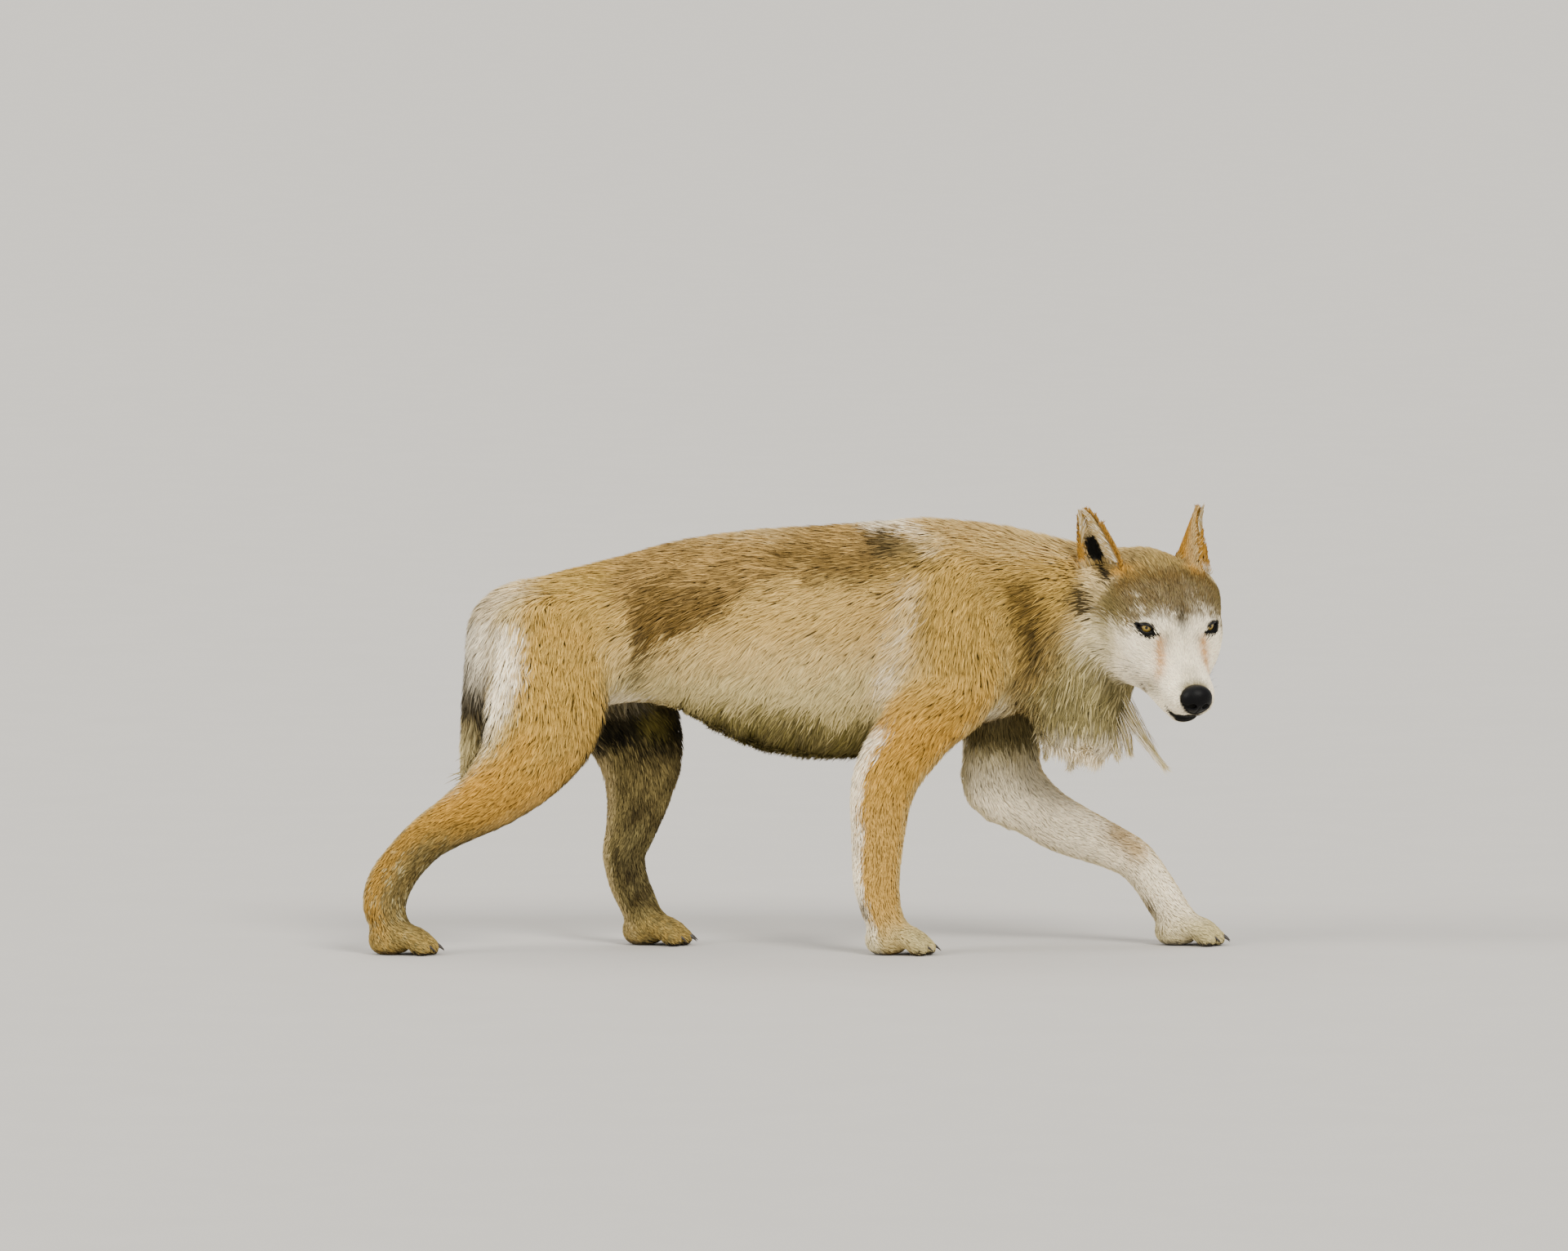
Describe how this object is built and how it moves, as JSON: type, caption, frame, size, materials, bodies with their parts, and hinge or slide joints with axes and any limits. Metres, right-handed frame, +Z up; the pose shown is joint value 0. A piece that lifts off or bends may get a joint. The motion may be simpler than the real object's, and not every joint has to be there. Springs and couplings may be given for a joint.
{
  "type": "wolf",
  "caption": "Life-size still model of a walking grey wolf, head low and turned to its right, in a moulting summer coat.",
  "frame": {"origin": "middle of the whole animal's box, at the level of the soles", "axes": "+X is the way the wolf walks, +Y its left, +Z up; the head is turned towards -Y"},
  "size_m": [1.3646, 0.356, 0.7008],
  "materials": {
    "coat": "dense animal coat, tan to grey-brown, paler on the face and under the belly",
    "nose": "damp black pebbled skin",
    "eyes": "wet amber iris with a dark pupil and rim",
    "claws": "dull dark horn"
  },
  "bodies": {
    "root": {"chest": "coat", "claw_forepaw_left_1": "claws", "claw_forepaw_left_2": "claws", "claw_forepaw_left_3": "claws", "claw_forepaw_left_4": "claws", "claw_forepaw_right_1": "claws", "claw_forepaw_right_2": "claws", "claw_forepaw_right_3": "claws", "claw_forepaw_right_4": "claws", "claw_hindpaw_left_1": "claws", "claw_hindpaw_left_2": "claws", "claw_hindpaw_left_3": "claws", "claw_hindpaw_left_4": "claws", "claw_hindpaw_right_1": "claws", "claw_hindpaw_right_2": "claws", "claw_hindpaw_right_3": "claws", "claw_hindpaw_right_4": "claws", "ear_left": "coat", "ear_right": "coat", "eye_left": "eyes", "eye_right": "eyes", "foreleg_left": "coat", "foreleg_right": "coat", "forepaw_left": "coat", "forepaw_right": "coat", "head": "coat", "hindleg_left": "coat", "hindleg_right": "coat", "hindpaw_left": "coat", "hindpaw_right": "coat", "hindquarters": "coat", "neck": "coat", "nose": "nose", "tail": "coat"}
  },
  "joints": []
}
